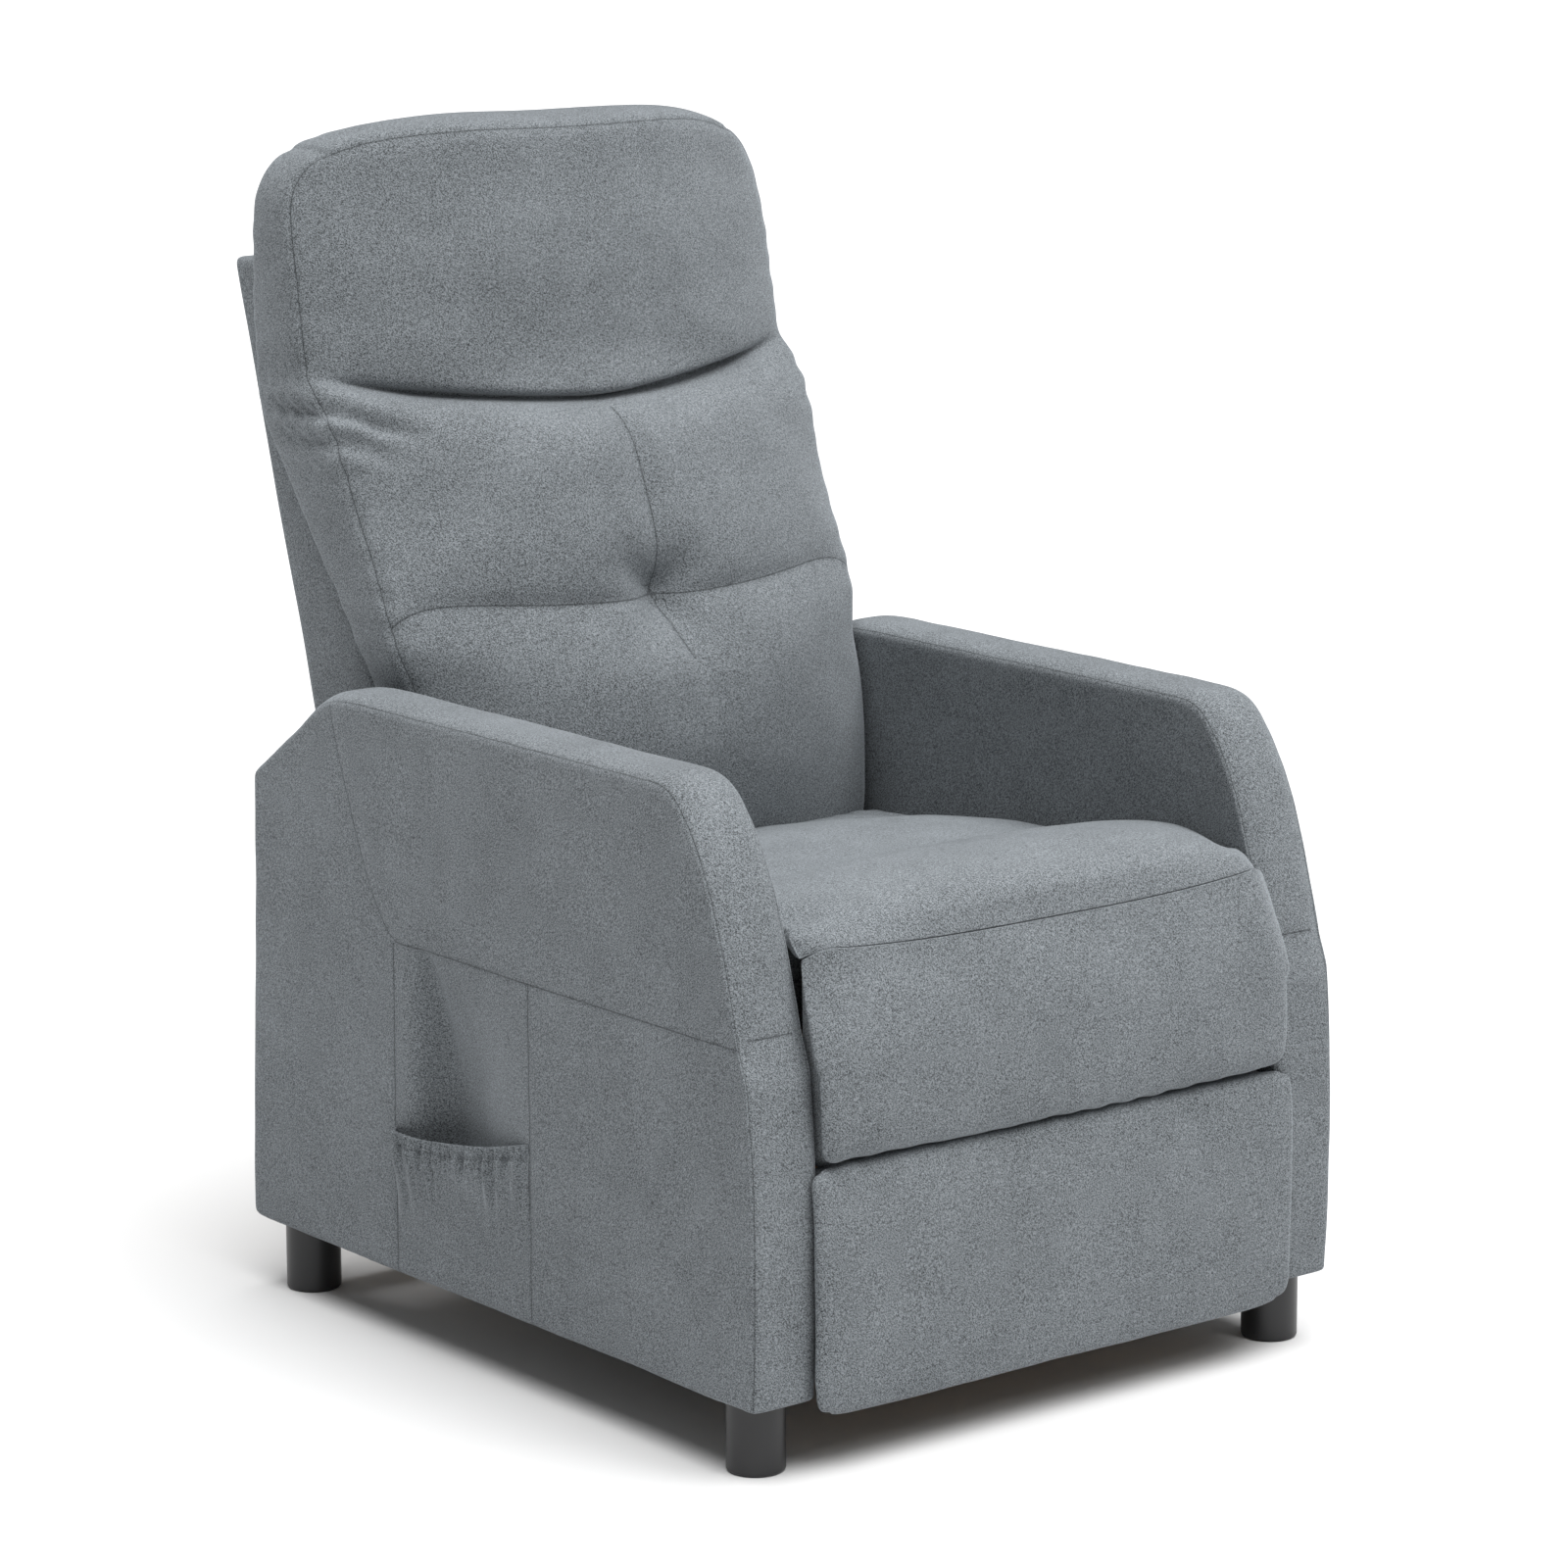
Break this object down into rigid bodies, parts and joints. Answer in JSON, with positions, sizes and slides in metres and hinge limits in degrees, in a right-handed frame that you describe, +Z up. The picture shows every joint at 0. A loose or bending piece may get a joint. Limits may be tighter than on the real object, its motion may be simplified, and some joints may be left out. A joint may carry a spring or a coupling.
{
  "type": "recliner armchair",
  "caption": "Upholstered push-back recliner armchair with a tufted pillow back, curved arms, a side pocket and a chaise front that lifts as a footrest.",
  "frame": {"origin": "on the floor, under the middle of the whole chair's bounding box", "axes": "+Z up, the chair faces -Y, +X is the sitter's left"},
  "size_m": [0.65, 0.88, 1.0621],
  "materials": {
    "cover_fabric": "matte",
    "elastic": "matte",
    "lining": "matte",
    "webbing": "matte",
    "foot_plastic": "satin",
    "timber": "satin",
    "spring_steel": "satin",
    "zinc_steel": "satin",
    "black_steel": "satin"
  },
  "bodies": {
    "base": {"front_left_foot": "foot_plastic", "front_right_foot": "foot_plastic", "left_arm_cover": "cover_fabric", "left_arm_frame": "timber", "left_base_plate": "black_steel", "rear_left_foot": "foot_plastic", "rear_right_foot": "foot_plastic", "right_arm_cover": "cover_fabric", "right_arm_frame": "timber", "right_base_plate": "black_steel", "base_plate_bolts": "zinc_steel", "foot_bolts": "zinc_steel", "front_stretcher": "timber", "rear_stretcher": "timber", "side_pocket": "cover_fabric", "pocket_elastic": "elastic", "swing_pivot_pins": "zinc_steel"},
    "front_swing_arms": {"left_front_swing_arm": "black_steel", "right_front_swing_arm": "black_steel", "front_cross_tube": "black_steel"},
    "rear_swing_arms": {"left_rear_swing_arm": "black_steel", "right_rear_swing_arm": "black_steel", "rear_cross_tube": "black_steel"},
    "seat": {"seat_cushion": "cover_fabric", "left_seat_plate": "black_steel", "right_seat_plate": "black_steel", "left_seat_rail": "timber", "right_seat_rail": "timber", "front_seat_rail": "timber", "rear_seat_rail": "timber", "seat_dust_cover": "lining", "seat_springs": "spring_steel", "spring_clips": "spring_steel", "seat_pivot_pins": "zinc_steel"},
    "backrest": {"left_back_post": "timber", "right_back_post": "timber", "back_top_rail": "timber", "back_middle_rail": "timber", "back_bottom_rail": "timber", "left_back_bracket": "black_steel", "right_back_bracket": "black_steel", "back_screws": "zinc_steel", "back_webbing": "webbing", "back_cover": "cover_fabric", "lumbar_cushion": "cover_fabric", "head_cushion": "cover_fabric"},
    "legrest": {"legrest_board": "timber", "calf_cushion": "cover_fabric", "foot_cushion": "cover_fabric", "left_legrest_bracket": "black_steel", "right_legrest_bracket": "black_steel", "legrest_screws": "zinc_steel", "board_pivot_pins": "zinc_steel"},
    "drive_links": {"left_drive_link": "black_steel", "right_drive_link": "black_steel", "torque_tube": "black_steel", "knee_pins": "zinc_steel"},
    "left_lift_link": {"left_lift_link": "black_steel"},
    "right_lift_link": {"right_lift_link": "black_steel"}
  },
  "joints": [
    {"name": "front_swing", "type": "hinge", "parent": "base", "child": "front_swing_arms", "pos_m": [0, -0.217, 0.185], "axis": [1, 0, 0], "range_deg": [0, 26]},
    {"name": "rear_swing", "type": "hinge", "parent": "base", "child": "rear_swing_arms", "pos_m": [0, 0.018, 0.185], "axis": [1, 0, 0], "range_deg": [0, 26]},
    {"name": "seat_level", "type": "hinge", "parent": "front_swing_arms", "child": "seat", "pos_m": [0, -0.19001, 0.30192], "axis": [1, 0, 0], "range_deg": [-26, 0]},
    {"name": "legrest_lift", "type": "hinge", "parent": "seat", "child": "legrest", "pos_m": [0, -0.417, 0.445], "axis": [-1, 0, 0], "range_deg": [0, 80]},
    {"name": "drive_link_turn", "type": "hinge", "parent": "seat", "child": "drive_links", "pos_m": [0, -0.287, 0.26], "axis": [-1, 0, 0], "range_deg": [0, 80]},
    {"name": "left_lift_link_turn", "type": "hinge", "parent": "legrest", "child": "left_lift_link", "pos_m": [0, -0.382, 0.335], "axis": [1, 0, 0], "range_deg": [0, 80]},
    {"name": "right_lift_link_turn", "type": "hinge", "parent": "legrest", "child": "right_lift_link", "pos_m": [0, -0.382, 0.335], "axis": [1, 0, 0], "range_deg": [0, 80]},
    {"name": "back_recline", "type": "hinge", "parent": "seat", "child": "backrest", "pos_m": [0, 0.153, 0.3], "axis": [-1, 0, 0], "range_deg": [0, 38]}
  ],
  "couplings": [
    {"joint": "rear_swing", "follows": "front_swing", "ratio": 1},
    {"joint": "seat_level", "follows": "front_swing", "ratio": -1},
    {"joint": "legrest_lift", "follows": "front_swing", "ratio": 3.0769},
    {"joint": "drive_link_turn", "follows": "front_swing", "ratio": 3.0769},
    {"joint": "left_lift_link_turn", "follows": "front_swing", "ratio": 3.0769},
    {"joint": "right_lift_link_turn", "follows": "front_swing", "ratio": 3.0769}
  ]
}
